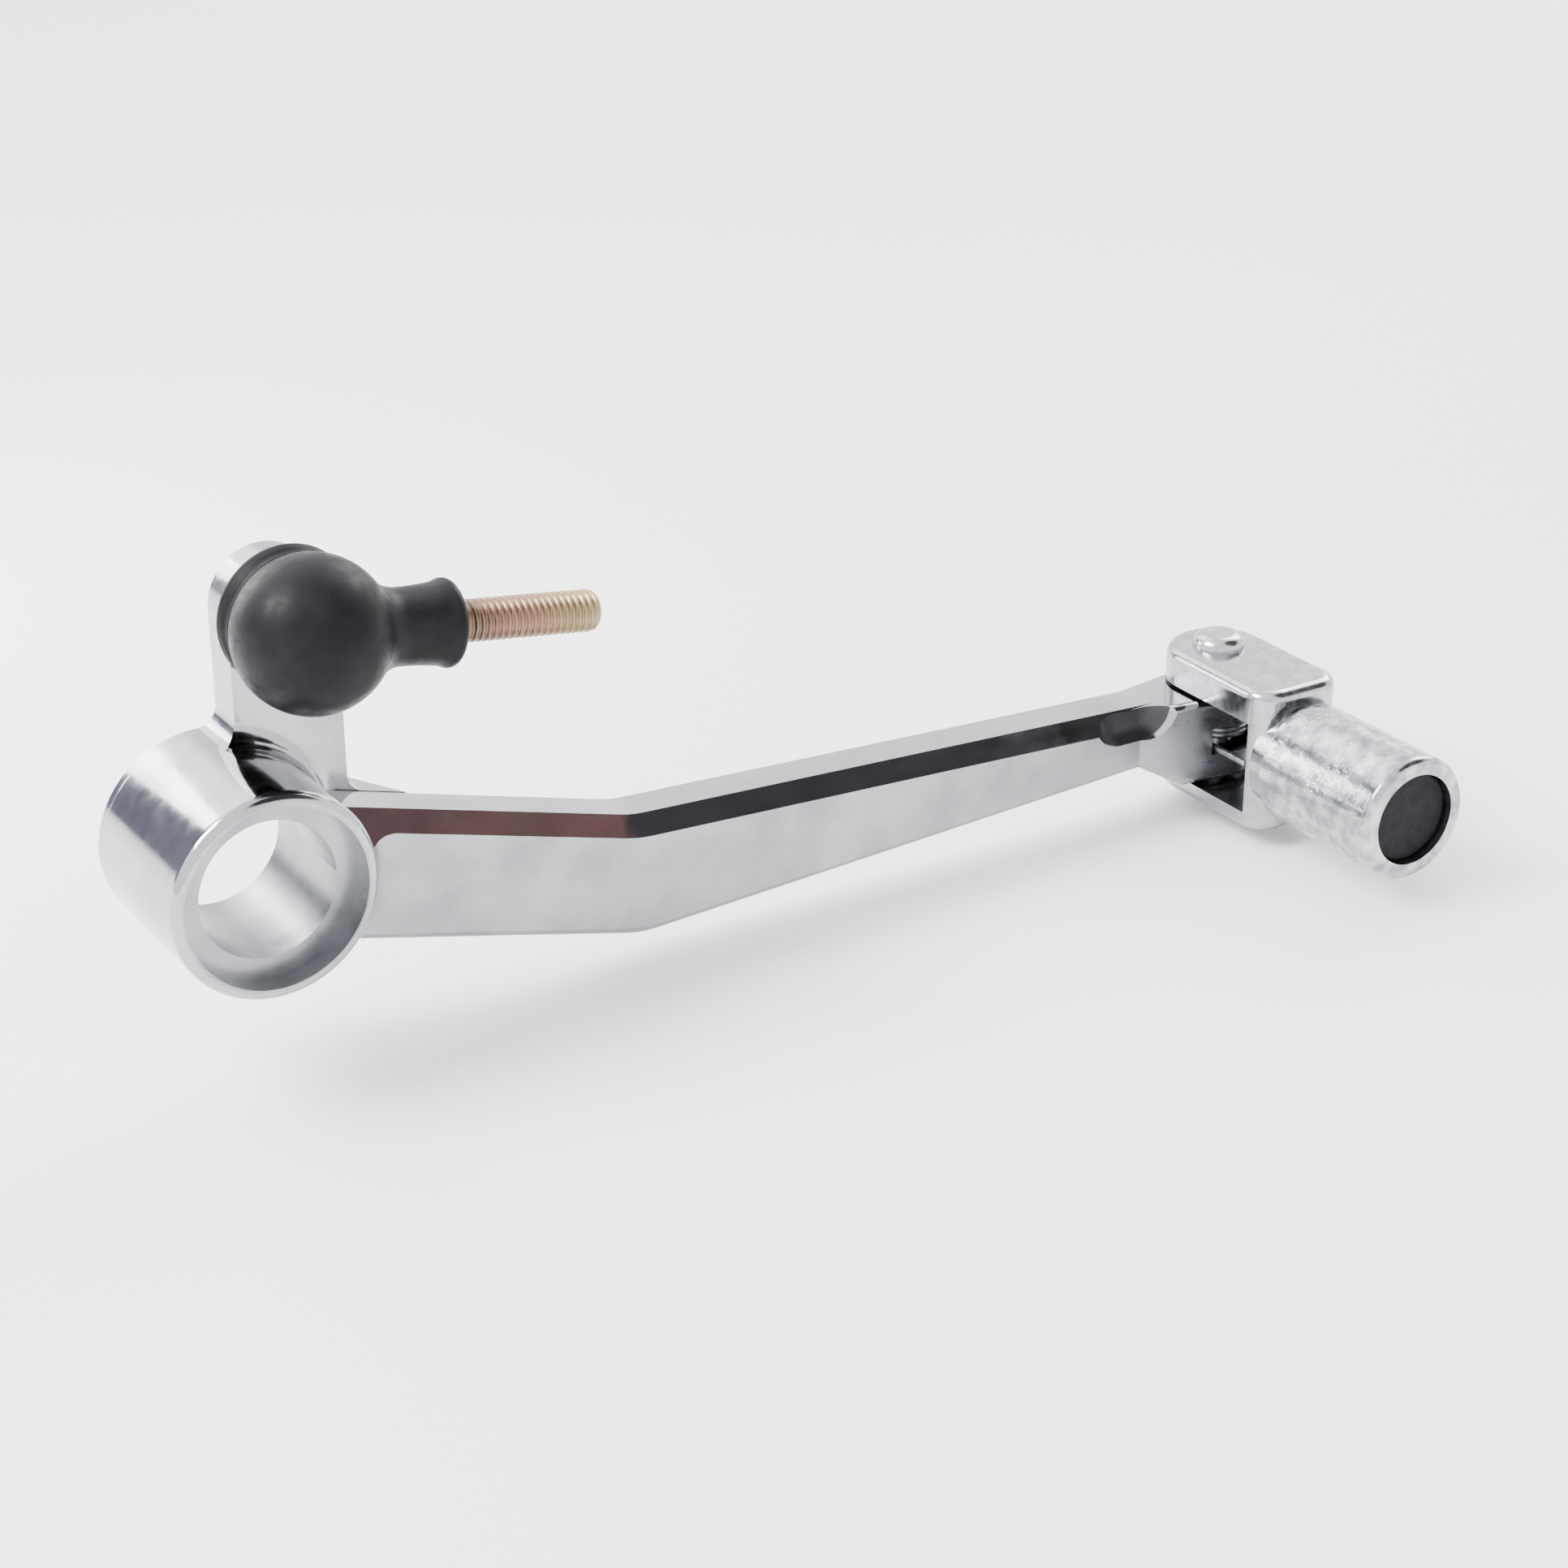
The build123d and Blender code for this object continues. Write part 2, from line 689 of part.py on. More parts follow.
# ================================================================ toe_spring
# Torsion spring round the bush: its coil as one sleeve, and the leg that presses on the fork's web.
with BuildPart() as toe_spring:
    with BuildSketch(toe_plane.offset(spring_low)):
        Circle(spring_outer)
        Circle(spring_inner, mode=Mode.SUBTRACT)
    extrude(amount=spring_height)
    leg_x = -(spring_outer + spring_inner) / 2
    leg_plane = Plane(
        origin=(pin_x + leg_x, pin_y, spring_low + spring_leg_radius + spring_leg_lift),
        x_dir=(1, 0, 0),
        z_dir=(0, -1, 0),
    )
    with BuildSketch(leg_plane):
        Circle(spring_leg_radius)
    extrude(amount=pin_y - web_face - spring_leg_play)
save(toe_spring.part, "toe_spring")
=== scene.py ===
"""Looks for the gear shift lever: finishes for the forged, turned and riveted pieces, and worked-out surfaces
for the rubber boot, the threaded rod, the knurled grip and the wound spring. All lengths are in metres."""
import json
import math

import bmesh
import bpy
import numpy as np
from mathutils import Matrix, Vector


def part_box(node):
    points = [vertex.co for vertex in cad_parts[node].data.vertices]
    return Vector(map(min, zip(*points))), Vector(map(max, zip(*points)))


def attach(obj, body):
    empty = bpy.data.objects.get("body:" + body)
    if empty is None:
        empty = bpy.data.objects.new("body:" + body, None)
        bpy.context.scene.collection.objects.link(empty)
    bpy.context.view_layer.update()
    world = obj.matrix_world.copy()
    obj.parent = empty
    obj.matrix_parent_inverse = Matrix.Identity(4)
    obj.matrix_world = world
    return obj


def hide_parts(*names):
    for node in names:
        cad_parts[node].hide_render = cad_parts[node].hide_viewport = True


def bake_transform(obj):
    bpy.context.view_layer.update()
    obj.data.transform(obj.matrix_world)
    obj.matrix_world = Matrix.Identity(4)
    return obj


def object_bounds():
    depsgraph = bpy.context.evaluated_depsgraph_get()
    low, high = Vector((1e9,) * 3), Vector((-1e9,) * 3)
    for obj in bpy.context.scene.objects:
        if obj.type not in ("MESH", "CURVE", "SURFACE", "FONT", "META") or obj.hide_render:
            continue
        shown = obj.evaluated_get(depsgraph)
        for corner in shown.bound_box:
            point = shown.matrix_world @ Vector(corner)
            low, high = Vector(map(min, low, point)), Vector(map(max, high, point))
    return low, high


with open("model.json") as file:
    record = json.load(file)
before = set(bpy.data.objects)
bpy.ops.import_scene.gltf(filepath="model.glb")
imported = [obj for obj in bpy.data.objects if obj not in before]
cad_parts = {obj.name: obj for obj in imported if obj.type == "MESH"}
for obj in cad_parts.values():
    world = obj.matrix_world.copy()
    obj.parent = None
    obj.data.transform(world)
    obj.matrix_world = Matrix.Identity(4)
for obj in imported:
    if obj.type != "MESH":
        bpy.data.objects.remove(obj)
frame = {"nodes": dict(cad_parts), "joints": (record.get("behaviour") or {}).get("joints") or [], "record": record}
cad_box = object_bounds()

MM = 0.001
nodes = frame["nodes"]
joints = {joint["name"]: joint for joint in frame["joints"]}

# ---------------------------------------------------------------- places taken from the frame
ball = np.array(joints["rod_swivel"]["pos_m"])
toe_pin = np.array(joints["toe_fold"]["pos_m"])
rod_high = np.array(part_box("tie_rod")[1])
boot_high = np.array(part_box("dust_boot")[1])
toe_low, toe_high = (np.array(corner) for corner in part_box("toe_piece"))
peg_radius = (toe_high[0] - toe_low[0]) / 2
peg_above_pin = 0.9 * MM
peg_centre = np.array([toe_pin[0], 0, toe_pin[2] + peg_above_pin])
scoop_to_pin = 21 * MM
scoop_x = toe_pin[0] - scoop_to_pin
hollow_y = -3.0 * MM
spring_low, spring_high = (np.array(corner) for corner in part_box("toe_spring"))
tilt_axis = np.array(joints["rod_tilt"]["axis"])
stud_way = np.array([0.0, 1.0, 0.0])
rod_way = np.cross(stud_way, tilt_axis)
rod_way = rod_way / np.linalg.norm(rod_way)
rod_radius = 3.0 * MM
rod_point = 0.9 * MM
bead_radius = 6.2 * MM
bead_round = 0.5 * MM
rod_tip = (rod_high[0] - ball[0] + (rod_radius - rod_point) * rod_way[2]) / rod_way[0]
boot_end = (boot_high[0] - ball[0] + (bead_radius - bead_round) * rod_way[2]) / rod_way[0]


# ---------------------------------------------------------------- surfaces
def new_piece(name, points, faces, smooth=True):
    """Put computed points and faces into a mesh object that sits at the origin."""
    mesh = bpy.data.meshes.new(name)
    mesh.from_pydata(points.reshape(-1, 3).tolist(), [], faces)
    mesh.polygons.foreach_set("use_smooth", np.full(len(mesh.polygons), smooth))
    mesh.update()
    piece = bpy.data.objects.new(name, mesh)
    bpy.context.scene.collection.objects.link(piece)
    return piece


def tube_faces(rows, columns, ring=False):
    """Quads over a grid whose columns close on themselves; with ring, the rows close too."""
    last = rows if ring else rows - 1
    row, column = np.meshgrid(np.arange(last), np.arange(columns), indexing="ij")
    below = (row + 1) % rows
    beside = (column + 1) % columns
    quads = np.stack(
        [row * columns + column, row * columns + beside, below * columns + beside, below * columns + column], -1
    )
    return quads.reshape(-1, 4).tolist()


def turned(centre, axis, side, along, radius, turns):
    """Surface of revolution: point = centre + along * axis + radius * (cos(turn) * side + sin(turn) * third),
    where third is square to axis and side."""
    third = np.cross(axis, side)
    around = np.cos(turns)[None, :, None] * side + np.sin(turns)[None, :, None] * third
    along = np.broadcast_to(np.asarray(along, float).reshape(len(along), -1), (len(along), len(turns)))
    radius = np.broadcast_to(np.asarray(radius, float).reshape(len(radius), -1), (len(radius), len(turns)))
    return centre + along[..., None] * axis + radius[..., None] * around


def close_ends(faces, rows, columns):
    """Add one many-sided face over each end of an open tube, facing outwards."""
    first = list(range(columns))[::-1]
    last = [(rows - 1) * columns + column for column in range(columns)]
    return faces + [first, last]


def outward(piece):
    """Turn every face outwards."""
    shell = bmesh.new()
    shell.from_mesh(piece.data)
    bmesh.ops.recalc_face_normals(shell, faces=shell.faces)
    shell.to_mesh(piece.data)
    shell.free()
    return piece


def arc(centre, radius, start, end, count):
    """Points of an arc in a half section, from one angle in degrees to another."""
    angles = np.radians(np.linspace(start, end, count))
    return np.stack([centre[0] + radius * np.cos(angles), centre[1] + radius * np.sin(angles)], -1)


# ---------------------------------------------------------------- rubber boot
def boot_section():
    """Half section of the boot about the rod: a bulb round the ball, a wide fillet, a tubular neck that
    flares a little, a rolled bead at its end and a mouth that closes in on the rod. First value along the rod,
    second the radius."""
    bulb = 11.0 * MM
    neck = 5.4 * MM
    flare = 0.35 * MM
    fillet = 5.2 * MM
    bead = 1.15 * MM
    bead_sunk = 0.35 * MM
    neck_lap = 0.3 * MM
    mouth = [(0.6, 3.3), (1.2, 2.9), (2.5, 2.6)]
    reach = math.sqrt((bulb + fillet) ** 2 - (neck + fillet) ** 2)
    touch = math.degrees(math.atan2(neck + fillet, reach))
    neck_end = boot_end - 2.6 * MM
    run = np.linspace(reach + neck_lap, neck_end, 14)
    share = (run - run[0]) / (run[-1] - run[0])
    parts = [
        arc((0.0, 0.0), bulb, 180, touch, 60),
        arc((reach, neck + fillet), fillet, 180 + touch, 270, 20)[1:],
        np.stack([run, neck + flare * share**2], -1),
        arc((boot_end - bead, neck - bead_sunk), bead, 120, -60, 16),
        np.array([[boot_end - depth * MM, radius * MM] for depth, radius in mouth]),
    ]
    return np.concatenate(parts)


def make_boot():
    """The boot's skin, turned about the rod and flattened where it meets its lip."""
    lip_height = 1.6 * MM
    section = boot_section()
    turns = np.linspace(0, 2 * np.pi, 96, endpoint=False)
    points = turned(ball, rod_way, tilt_axis, section[:, :1], section[:, 1:], turns)
    points[..., 1] = np.minimum(points[..., 1], boot_high[1] - lip_height)
    rows, columns = points.shape[:2]
    bulb = new_piece("boot_bulb", points, close_ends(tube_faces(rows, columns), rows, columns))
    return outward(bulb)


def make_boot_lip():
    """The lip: a closed ring turned about the stud, with a round rim, flat against the ear, and a shallow
    groove where it runs up on to the bulb. It is hollowed in front, so that the housing can tilt."""
    rim = 1.0 * MM
    outer = 10.0 * MM
    inner = 5.75 * MM
    pressed_in = 0.05 * MM
    groove = 1.6 * MM
    groove_depth = 3.0 * MM
    groove_above_rim = 1.05 * MM
    hollow = [(4.6, 9.0), (4.4, 8.6), (3.1, 8.0), (1.2, 7.4)]
    floor_depth = 1.2 * MM
    back = boot_high[1] + pressed_in - ball[1]
    section = np.concatenate([
        arc((back - rim, outer - rim), rim, 0, 120, 10),
        arc((back - groove_depth, outer + groove_above_rim), groove, 310, 230, 10),
        np.array([[back - depth * MM, radius * MM] for depth, radius in hollow]),
        np.array([[back - floor_depth, inner], [back, inner]]),
    ])
    turns = np.linspace(0, 2 * np.pi, 96, endpoint=False)
    points = turned(ball, stud_way, np.array([1.0, 0, 0]), section[:, :1], section[:, 1:], turns)
    rows, columns = points.shape[:2]
    return outward(new_piece("boot_lip", points, tube_faces(rows, columns, ring=True)))


# ---------------------------------------------------------------- threaded rod
def make_thread():
    """Rod with a rolled thread: the radius follows a rounded wave whose phase is the distance along the
    rod divided by the pitch, less the turn round the rod, so the crest climbs one pitch a turn. The thread
    fades into a plain reduced shank by the boot, and the tip is rounded off."""
    pitch = 1.0 * MM
    rows_a_pitch = 12
    shank = 2.7 * MM
    depth = 0.34 * MM
    crest_middle = 0.55
    crest_swing = 0.75
    thread_start = boot_end + 1.4 * MM
    tip_round = 1.5 * MM
    start = boot_end - 5.0 * MM
    rows, columns = int((rod_tip - start) / pitch * rows_a_pitch), 48
    along = np.linspace(start, rod_tip, rows)[:, None]
    turns = np.linspace(0, 2 * np.pi, columns, endpoint=False)
    wave = np.cos(2 * np.pi * along / pitch - turns[None, :])
    crest = np.clip(crest_middle + crest_swing * wave, 0, 1)
    fade = np.clip((along - thread_start) / pitch, 0, 1)
    radius = shank + (rod_radius - shank - depth * (1 - crest)) * fade
    left = np.clip(along - (rod_tip - tip_round), 0, tip_round)
    radius = np.minimum(radius, rod_radius - tip_round + np.sqrt(tip_round**2 - left**2 + 1e-12))
    points = turned(ball, rod_way, tilt_axis, along, radius, turns)
    piece = new_piece("rod_thread", points, close_ends(tube_faces(rows, columns), rows, columns))
    return outward(piece)


# ---------------------------------------------------------------- knurled grip
def make_knurl():
    """Diamond knurl on the peg: two sets of grooves wind opposite ways round it, and the height at a
    point is the lower of the two groove profiles, worn a little differently from place to place."""
    starts = 46
    slant = 0.6
    plain_rim = 2.6 * MM
    plain_edge = 24.3 * MM
    front = toe_low[1] + plain_rim
    back = toe_low[1] + plain_edge
    root = peg_radius - 0.30 * MM
    depth = 0.36 * MM
    steepness = 1.7
    run_out = 0.6 * MM
    rows, columns = 130, starts * 8
    along = np.linspace(back, front, rows)[:, None]
    turns = np.linspace(0, 2 * np.pi, columns, endpoint=False)[None, :]
    climb = along * slant * starts / (2 * np.pi * peg_radius)
    ridge_one = 1 - np.abs(2 * ((starts * turns / (2 * np.pi) + climb) % 1) - 1)
    ridge_two = 1 - np.abs(2 * ((starts * turns / (2 * np.pi) - climb) % 1) - 1)
    worn = 0.75 + 0.18 * np.sin(3 * turns + along * 400) + 0.07 * np.sin(7 * turns - along * 900)
    height = np.clip(np.minimum(ridge_one, ridge_two) * steepness, 0, 1) * worn
    edge = np.clip(np.minimum(along - front, back - along) / run_out, 0, 1)
    radius = root + depth * height * edge
    points = turned(peg_centre, stud_way, np.array([0.0, 0, 1]), along, radius, turns[0])
    piece = new_piece("peg_knurl", points, close_ends(tube_faces(rows, columns), rows, columns))
    return outward(piece)


# ---------------------------------------------------------------- torsion spring
def make_spring():
    """Round wire along a helix about the toe pin, whose upper end runs back into the knuckle and whose
    lower end runs straight out to the fork's web."""
    wire = 0.55 * MM
    coil = 5.1 * MM
    turns = 3.0
    end_gap = 0.7 * MM
    base = spring_low[2] + end_gap
    climb = (spring_high[2] - spring_low[2] - 2 * end_gap) / turns
    angle = np.linspace(0, 2 * np.pi * turns, 150)
    helix = np.stack([
        toe_pin[0] - coil * np.cos(angle),
        toe_pin[1] + coil * np.sin(angle),
        base + climb * angle / (2 * np.pi),
    ], -1)
    leg = np.linspace(0, 1, 24)[::-1, None]
    leg_end = np.array([helix[0, 0], spring_low[1] + wire, base])
    leg_points = helix[0] + (leg_end - helix[0]) * leg
    path = np.concatenate([leg_points[:-1], helix])
    heading = np.gradient(path, axis=0)
    heading = heading / np.linalg.norm(heading, axis=1, keepdims=True)
    side = np.cross(heading, np.array([0.0, 0, 1]))
    side = side / np.linalg.norm(side, axis=1, keepdims=True)
    up = np.cross(side, heading)
    around = np.linspace(0, 2 * np.pi, 14, endpoint=False)
    ring = np.cos(around)[None, :, None] * side[:, None] + np.sin(around)[None, :, None] * up[:, None]
    points = path[:, None] + wire * ring
    rows, columns = points.shape[:2]
    piece = new_piece("spring_wire", points, close_ends(tube_faces(rows, columns), rows, columns))
    return outward(piece)


# ---------------------------------------------------------------- finishes
class Finish:
    """One material, built from nodes that read Object coordinates. Its plain colour and roughness hold
    wherever no nodes are linked to them."""

    def __init__(self, name, color, metallic, roughness):
        self.material = bpy.data.materials.new(name)
        self.material.use_nodes = True
        self.tree = self.material.node_tree
        self.shader = self.tree.nodes["Principled BSDF"]
        self.shader.inputs["Base Color"].default_value = (*color, 1)
        self.shader.inputs["Metallic"].default_value = metallic
        self.shader.inputs["Roughness"].default_value = roughness
        self.place = self.tree.nodes.new("ShaderNodeTexCoord").outputs["Object"]

    def link(self, source, target):
        self.tree.links.new(source, target)
        return target

    def noise(self, scale, detail, stretch=(1, 1, 1)):
        """Noise over the piece, with scale in features per metre, stretched along an axis."""
        mapping = self.tree.nodes.new("ShaderNodeMapping")
        mapping.inputs["Scale"].default_value = stretch
        self.link(self.place, mapping.inputs["Vector"])
        noise = self.tree.nodes.new("ShaderNodeTexNoise")
        noise.inputs["Scale"].default_value = scale
        noise.inputs["Detail"].default_value = detail
        self.link(mapping.outputs["Vector"], noise.inputs["Vector"])
        return noise.outputs["Fac"]

    def spread(self, source, low, high, to_low=0.0, to_high=1.0):
        """Map a value from one range to another, held at the ends."""
        ranger = self.tree.nodes.new("ShaderNodeMapRange")
        ranger.inputs["From Min"].default_value = low
        ranger.inputs["From Max"].default_value = high
        ranger.inputs["To Min"].default_value = to_low
        ranger.inputs["To Max"].default_value = to_high
        self.link(source, ranger.inputs["Value"])
        return ranger.outputs["Result"]

    def join(self, first, second, operation="ADD"):
        """Join two values, or a value and a number, with one operation."""
        math_node = self.tree.nodes.new("ShaderNodeMath")
        math_node.operation = operation
        for socket, value in zip(math_node.inputs, (first, second)):
            if isinstance(value, (int, float)):
                socket.default_value = value
            else:
                self.link(value, socket)
        return math_node.outputs["Value"]

    def axis_part(self, vector, axis):
        """One coordinate of a vector."""
        split = self.tree.nodes.new("ShaderNodeSeparateXYZ")
        self.link(vector, split.inputs["Vector"])
        return split.outputs[axis]

    def ramp(self, source, *stops):
        """Colour ramp; each stop is a position and a colour."""
        ramp = self.tree.nodes.new("ShaderNodeValToRGB")
        elements = ramp.color_ramp.elements
        while len(elements) < len(stops):
            elements.new(0.5)
        for element, (position, color) in zip(elements, stops):
            element.position = position
            element.color = (*color, 1)
        self.link(source, ramp.inputs["Fac"])
        return ramp.outputs["Color"]

    def bump(self, height, distance, strength=1.0):
        """Give the surface relief of a height in metres."""
        bump = self.tree.nodes.new("ShaderNodeBump")
        bump.inputs["Distance"].default_value = distance
        bump.inputs["Strength"].default_value = strength
        self.link(height, bump.inputs["Height"])
        self.link(bump.outputs["Normal"], self.shader.inputs["Normal"])

    def color(self, source):
        self.link(source, self.shader.inputs["Base Color"])

    def roughness(self, source):
        self.link(source, self.shader.inputs["Roughness"])


def polished_alloy():
    """Buffed aluminium: mirror-like edges and barrel, a brushed satin outer face on the arm, duller bores
    with fine turning rings, and painted shade that darkens the hollow near the toe, which is also left rougher."""
    bore_edge = 13.9 * MM
    hub_edge = 15 * MM
    scoop_half = 9 * MM
    bevel_fade = 23 * MM
    finish = Finish("polished_alloy", (0.42, 0.425, 0.44), 1.0, 0.12)
    across = finish.axis_part(finish.place, "X")
    height = finish.axis_part(finish.place, "Z")
    across_squared = finish.join(across, across, "MULTIPLY")
    height_squared = finish.join(height, height, "MULTIPLY")
    from_axis = finish.join(finish.join(across_squared, height_squared), 0.5, "POWER")
    bore = finish.spread(from_axis, bore_edge, bore_edge - 0.5 * MM)
    normal = finish.tree.nodes.new("ShaderNodeNewGeometry").outputs["Normal"]
    outer_face = finish.spread(finish.axis_part(normal, "Y"), -0.9, -0.995)
    past_hub = finish.spread(across, hub_edge, hub_edge + 4 * MM)
    satin = finish.join(outer_face, past_hub, "MULTIPLY")
    # Painted shade: the hollow near the toe is darkened in colour where shade and dark reflections fall, fading
    # out along the bevel.
    near_end = finish.spread(across, scoop_x - scoop_half - bevel_fade, scoop_x - scoop_half)
    before_end = finish.spread(across, scoop_x + scoop_half + 0.5 * MM, scoop_x + scoop_half - MM)
    sunk = finish.spread(finish.axis_part(finish.place, "Y"), hollow_y, hollow_y + 0.25 * MM)
    faces_out = finish.spread(finish.axis_part(normal, "Y"), -0.25, -0.4)
    upper = finish.spread(height, toe_pin[2] - 0.6 * MM, toe_pin[2] + 0.4 * MM)
    hollow = finish.join(
        finish.join(near_end, before_end, "MULTIPLY"), finish.join(sunk, faces_out, "MULTIPLY"), "MULTIPLY"
    )
    hollow = finish.join(hollow, upper, "MULTIPLY")
    cloud = finish.noise(90, 4)
    tone = finish.join(finish.spread(cloud, 0.3, 0.7, 0.5, 1.0), finish.join(bore, -0.32, "MULTIPLY"))
    # Painted shade in the hollow near the toe, plus a slightly darker tone on the brushed satin face.
    shade_and_satin = finish.join(finish.join(hollow, -1.0, "MULTIPLY"), finish.join(satin, -0.2, "MULTIPLY"))
    tone = finish.join(tone, shade_and_satin)
    finish.color(finish.ramp(
        tone,
        (0.0, (0.05, 0.05, 0.055)),
        (0.3, (0.24, 0.245, 0.26)),
        (0.6, (0.33, 0.335, 0.35)),
        (1.0, (0.42, 0.425, 0.44)),
    ))
    wear = finish.spread(finish.noise(420, 5, (0.25, 1, 1)), 0.3, 0.7, 0.07, 0.15)
    dull = finish.join(finish.join(satin, 0.20, "MULTIPLY"), finish.join(bore, 0.20, "MULTIPLY"))
    dull = finish.join(dull, finish.join(hollow, 0.25, "MULTIPLY"))
    finish.roughness(finish.join(dull, wear))
    brushed = finish.join(finish.noise(2600, 2, (0.06, 1, 1)), finish.join(satin, 0.30, "MULTIPLY"), "MULTIPLY")
    rings = finish.join(finish.noise(3800, 2, (0, 1, 0)), finish.join(bore, 0.45, "MULTIPLY"), "MULTIPLY")
    swirl = finish.noise(150, 2)
    finish.bump(finish.join(finish.join(swirl, brushed), rings), 0.06 * MM, 0.45)
    return finish.material


def grip_alloy():
    """Tumbled aluminium of the toe piece, a little cloudy, with small dents."""
    finish = Finish("grip_alloy", (0.45, 0.455, 0.47), 1.0, 0.2)
    on_peg = finish.spread(finish.axis_part(finish.place, "Y"), -19 * MM, -21.5 * MM, 0.3, 1.0)
    cloud = finish.join(finish.join(finish.noise(420, 5), -0.5), on_peg, "MULTIPLY")
    finish.color(finish.ramp(
        finish.join(cloud, 0.5),
        (0.32, (0.22, 0.225, 0.25)),
        (0.48, (0.35, 0.355, 0.375)),
        (0.66, (0.55, 0.55, 0.56)),
    ))
    finish.roughness(finish.spread(finish.noise(700, 4), 0.3, 0.7, 0.12, 0.27))
    relief = finish.join(finish.noise(330, 3), finish.join(finish.noise(1500, 2), 0.2, "MULTIPLY"))
    finish.bump(finish.join(relief, on_peg, "MULTIPLY"), 0.25 * MM, 0.4)
    return finish.material


def bright_steel():
    """Plated steel."""
    finish = Finish("bright_steel", (0.42, 0.425, 0.43), 1.0, 0.2)
    finish.color(finish.ramp(finish.noise(700, 4), (0.3, (0.34, 0.345, 0.36)), (0.7, (0.47, 0.475, 0.48))))
    finish.roughness(finish.spread(finish.noise(1500, 3), 0.3, 0.7, 0.14, 0.28))
    finish.bump(finish.noise(3000, 2), 0.02 * MM, 0.3)
    return finish.material


def dark_steel():
    """Oiled spring steel."""
    finish = Finish("dark_steel", (0.33, 0.34, 0.36), 1.0, 0.35)
    finish.color(finish.ramp(finish.noise(900, 4), (0.3, (0.20, 0.21, 0.23)), (0.7, (0.36, 0.37, 0.39))))
    finish.roughness(finish.spread(finish.noise(1800, 3), 0.3, 0.7, 0.28, 0.45))
    return finish.material


def yellow_zinc():
    """Chromated zinc on the thread: rosy brown near the boot, straw yellow towards the tip."""
    finish = Finish("yellow_zinc", (0.62, 0.50, 0.33), 0.85, 0.34)
    patchy = finish.join(finish.noise(330, 4), 9 * MM, "MULTIPLY")
    travel = finish.join(finish.axis_part(finish.place, "X"), patchy)
    run = finish.spread(travel, float(boot_high[0]) + 4 * MM, float(rod_high[0]) + 5 * MM)
    finish.color(finish.ramp(
        run,
        (0.0, (0.10, 0.095, 0.06)),
        (0.18, (0.20, 0.115, 0.08)),
        (0.55, (0.25, 0.15, 0.095)),
        (0.8, (0.27, 0.20, 0.10)),
        (1.0, (0.33, 0.26, 0.15)),
    ))
    finish.roughness(finish.spread(finish.noise(1600, 4), 0.3, 0.7, 0.26, 0.46))
    finish.bump(finish.noise(4000, 3), 0.03 * MM, 0.4)
    return finish.material


def black_rubber():
    """Moulded rubber with a soft bloom and a fine grain."""
    finish = Finish("black_rubber", (0.01, 0.01, 0.012), 0.0, 0.42)
    finish.shader.inputs["IOR"].default_value = 1.2
    finish.color(finish.ramp(finish.noise(160, 5), (0.35, (0.004, 0.004, 0.005)), (0.75, (0.011, 0.011, 0.014))))
    finish.roughness(finish.spread(finish.noise(600, 4), 0.3, 0.7, 0.36, 0.52))
    finish.bump(finish.noise(5200, 2), 0.03 * MM, 0.35)
    return finish.material


def black_plug():
    """Dull black plug."""
    finish = Finish("black_plug", (0.006, 0.006, 0.008), 0.0, 0.5)
    finish.shader.inputs["IOR"].default_value = 1.22
    finish.color(finish.ramp(finish.noise(500, 4), (0.3, (0.003, 0.003, 0.004)), (0.7, (0.008, 0.008, 0.011))))
    finish.roughness(finish.spread(finish.noise(1500, 3), 0.3, 0.7, 0.45, 0.6))
    finish.bump(finish.noise(4200, 2), 0.03 * MM, 0.3)
    return finish.material


def seat_plastic():
    """Natural acetal."""
    finish = Finish("seat_plastic", (0.86, 0.85, 0.80), 0.0, 0.4)
    finish.color(finish.ramp(finish.noise(500, 3), (0.3, (0.80, 0.79, 0.73)), (0.7, (0.88, 0.87, 0.83))))
    finish.roughness(finish.spread(finish.noise(1500, 3), 0.3, 0.7, 0.35, 0.5))
    return finish.material


finishes = {
    "polished_alloy": polished_alloy(),
    "grip_alloy": grip_alloy(),
    "bright_steel": bright_steel(),
    "dark_steel": dark_steel(),
    "yellow_zinc": yellow_zinc(),
    "black_rubber": black_rubber(),
    "black_plug": black_plug(),
    "seat_plastic": seat_plastic(),
}


def dress(piece, slot):
    """Give a piece the one finish of its slot."""
    piece.data.materials.clear()
    piece.data.materials.append(finishes[slot])


for part in frame["record"]["subparts"]:
    dress(nodes[part["node"]], part["material_slot"])


def fit(piece, slot, body=None, replaced=None):
    """Dress a new piece in the finish of its slot, hang it on the body that carries it, and hide the node it
    stands in for.
    """
    dress(piece, slot)
    if body:
        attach(piece, body)
    if replaced:
        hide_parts(replaced)


boot = make_boot()
fit(boot, "black_rubber", replaced="dust_boot")
boot_lip = make_boot_lip()
fit(boot_lip, "black_rubber")
for rubber in (boot, boot_lip):
    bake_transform(rubber)
fit(make_thread(), "yellow_zinc", "rod_end", "tie_rod")
fit(make_knurl(), "grip_alloy", "toe")
fit(make_spring(), "dark_steel", "lever", "toe_spring")


# ---------------------------------------------------------------- floor, light and camera
def make_floor():
    """Wide plain floor just under the lowest point."""
    reach = 6.0
    level = float(cad_box[0][2]) - 1 * MM
    signs = ((-1, -1), (1, -1), (1, 1), (-1, 1))
    corners = np.array([[reach * across, reach * away, level] for across, away in signs])
    floor = new_piece("floor", corners, [[0, 1, 2, 3]], smooth=False)
    finish = Finish("floor_white", (0.92, 0.92, 0.92), 0.0, 0.9)
    finish.color(finish.ramp(finish.noise(3, 2), (0.3, (0.90, 0.90, 0.90)), (0.7, (0.93, 0.93, 0.93))))
    floor.data.materials.append(finish.material)


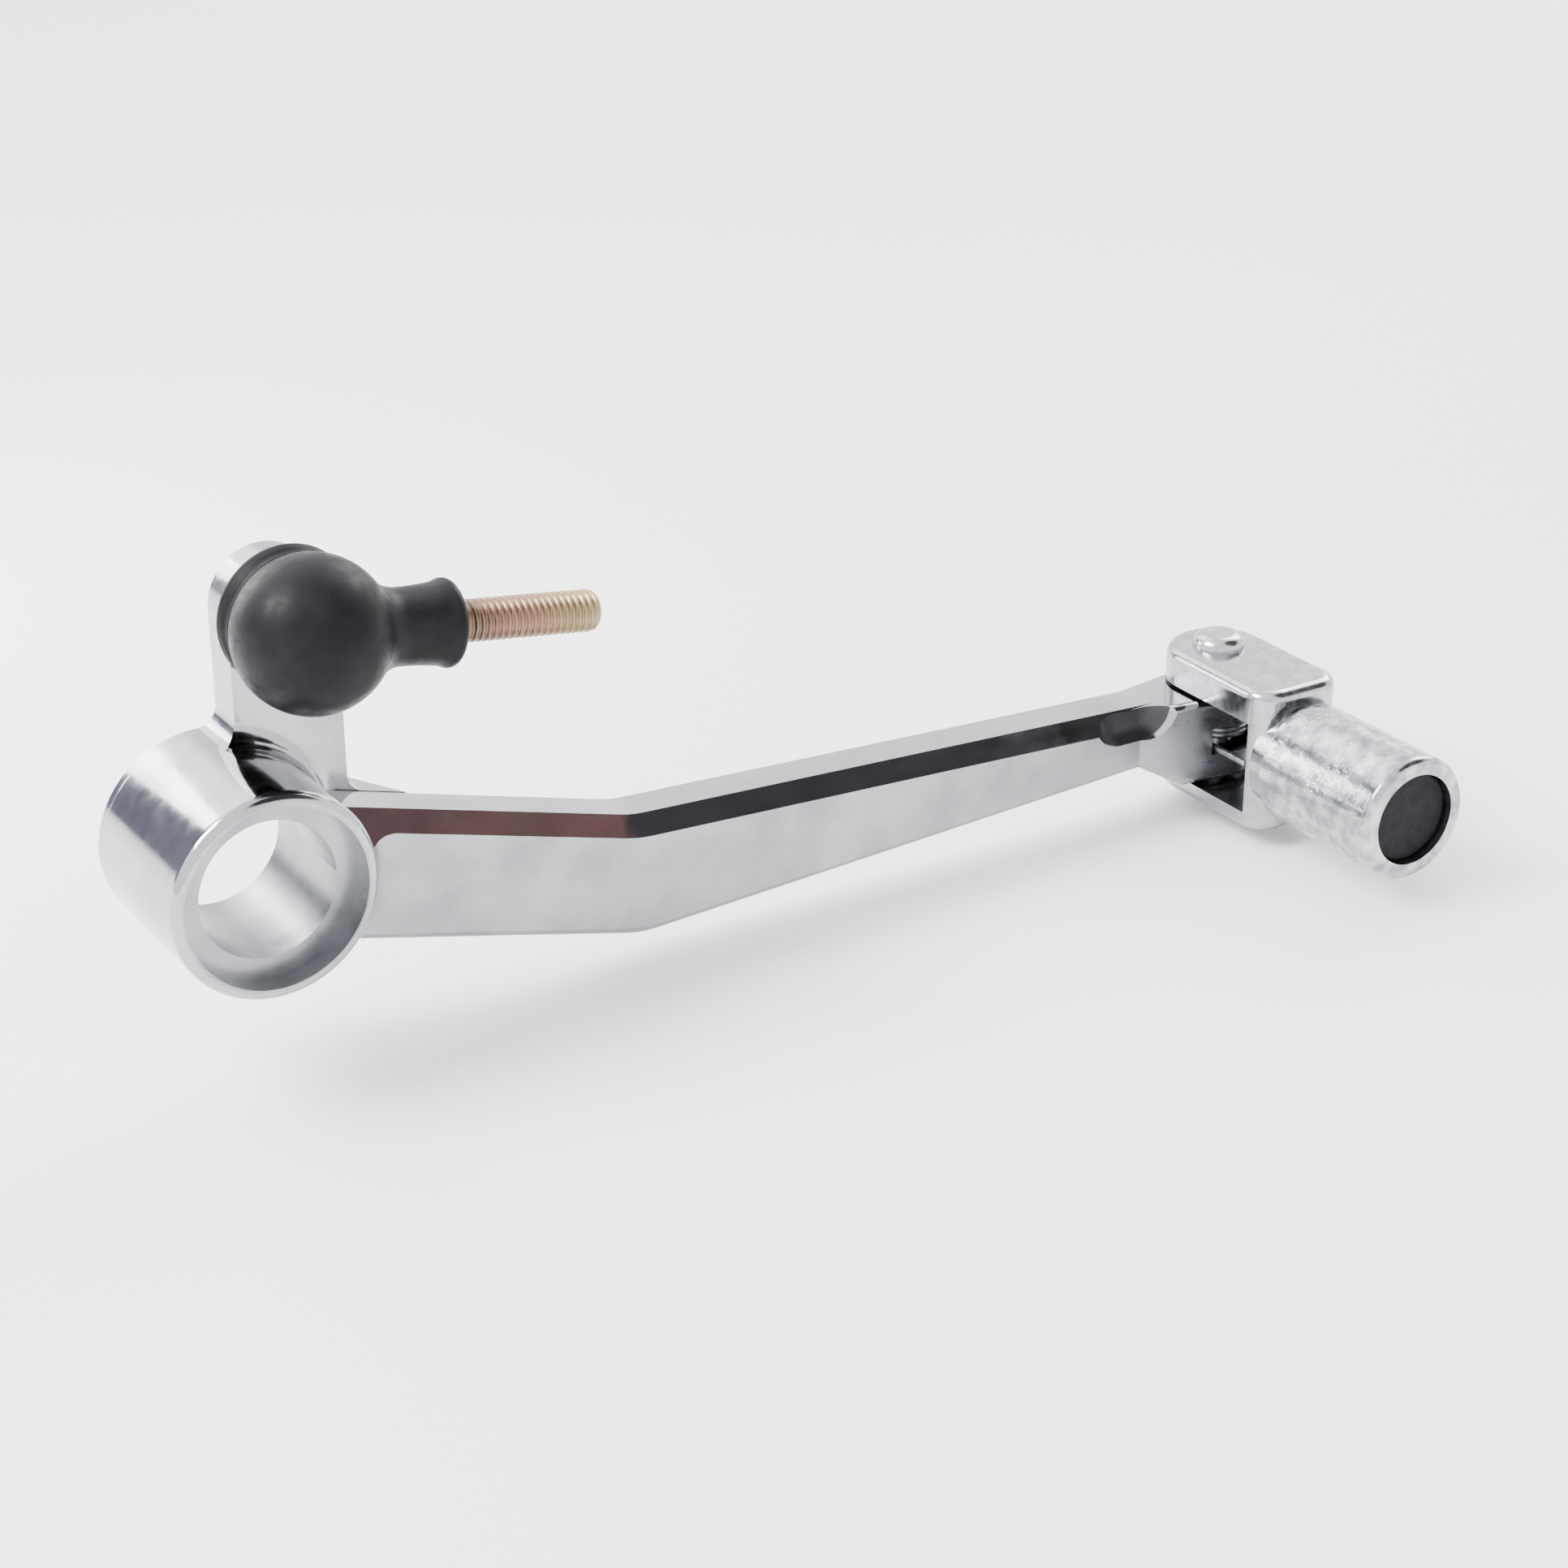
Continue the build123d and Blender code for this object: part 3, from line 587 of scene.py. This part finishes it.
def make_sky():
    """Studio surroundings by direction: pale all round, with broad soft patches of light and shade."""
    world = bpy.data.worlds.new("studio")
    bpy.context.scene.world = world
    world.use_nodes = True
    tree = world.node_tree
    background = tree.nodes["Background"]
    way = tree.nodes.new("ShaderNodeTexCoord").outputs["Generated"]
    current = None
    patches = (
        # direction, edge and core of the patch as cosines, colour
        ((-0.12, 0.77, 0.63), 0.88, 0.97, (5.2, 5.2, 5.4)),
        ((-0.60, 0.74, 0.30), 0.905, 0.95, (0.46, 0.47, 0.60)),
        ((0.486, -0.42, 0.77), 0.86, 0.93, (0.12, 0.11, 0.12)),
        ((0.72, -0.30, 0.625), 0.996, 0.9996, (0.42, 0.22, 0.21)),
    )
    for direction, edge, core, color in patches:
        length = math.sqrt(sum(part * part for part in direction))
        dot = tree.nodes.new("ShaderNodeVectorMath")
        dot.operation = "DOT_PRODUCT"
        dot.inputs[1].default_value = [part / length for part in direction]
        tree.links.new(way, dot.inputs[0])
        soft = tree.nodes.new("ShaderNodeMapRange")
        soft.interpolation_type = "SMOOTHSTEP"
        soft.inputs["From Min"].default_value = edge
        soft.inputs["From Max"].default_value = core
        tree.links.new(dot.outputs["Value"], soft.inputs["Value"])
        mix = tree.nodes.new("ShaderNodeMix")
        mix.data_type = "RGBA"
        tree.links.new(soft.outputs["Result"], mix.inputs["Factor"])
        if current is None:
            mix.inputs["A"].default_value = (2.6, 2.62, 2.66, 1)
        else:
            tree.links.new(current, mix.inputs["A"])
        mix.inputs["B"].default_value = (*color, 1)
        current = mix.outputs["Result"]
    tree.links.new(current, background.inputs["Color"])
    background.inputs["Strength"].default_value = 1.0


def make_light(name, direction, distance, size, power, middle=(0.08, 0, 0)):
    """Square area light that looks at a point, by default the lever's middle, from a direction."""
    way = np.array(direction) / np.linalg.norm(direction)
    lamp = bpy.data.lights.new(name, "AREA")
    lamp.size = size
    lamp.energy = power
    holder = bpy.data.objects.new(name, lamp)
    bpy.context.scene.collection.objects.link(holder)
    holder.location = np.array(middle) + way * distance
    holder.rotation_euler = Vector(-way).to_track_quat("-Z", "Y").to_euler()


def make_camera():
    """Camera to the lever's left and above it, looking along the arm and slightly down."""
    turn = math.radians(32.4)
    dip = math.radians(24.8)
    lens_data = bpy.data.cameras.new("camera")
    lens_data.sensor_width = 36
    lens_data.lens = 74.53416
    camera = bpy.data.objects.new("camera", lens_data)
    bpy.context.scene.collection.objects.link(camera)
    camera.location = np.array([-149.3, -373.0, 194.3]) * MM
    camera.rotation_euler = (math.pi / 2 - dip, 0, -turn)
    bpy.context.scene.camera = camera


make_floor()
make_sky()
make_light("key", (-0.66, 0.16, 0.73), 1.0, 0.45, 22)
make_light("fill", (0.75, 0.35, 0.56), 1.4, 0.7, 14)
make_light("peg_glow", (-0.60, 0.74, 0.30), 0.36, 0.12, 0.5, tuple(peg_centre + np.array([0, -30, 0]) * MM))
make_camera()
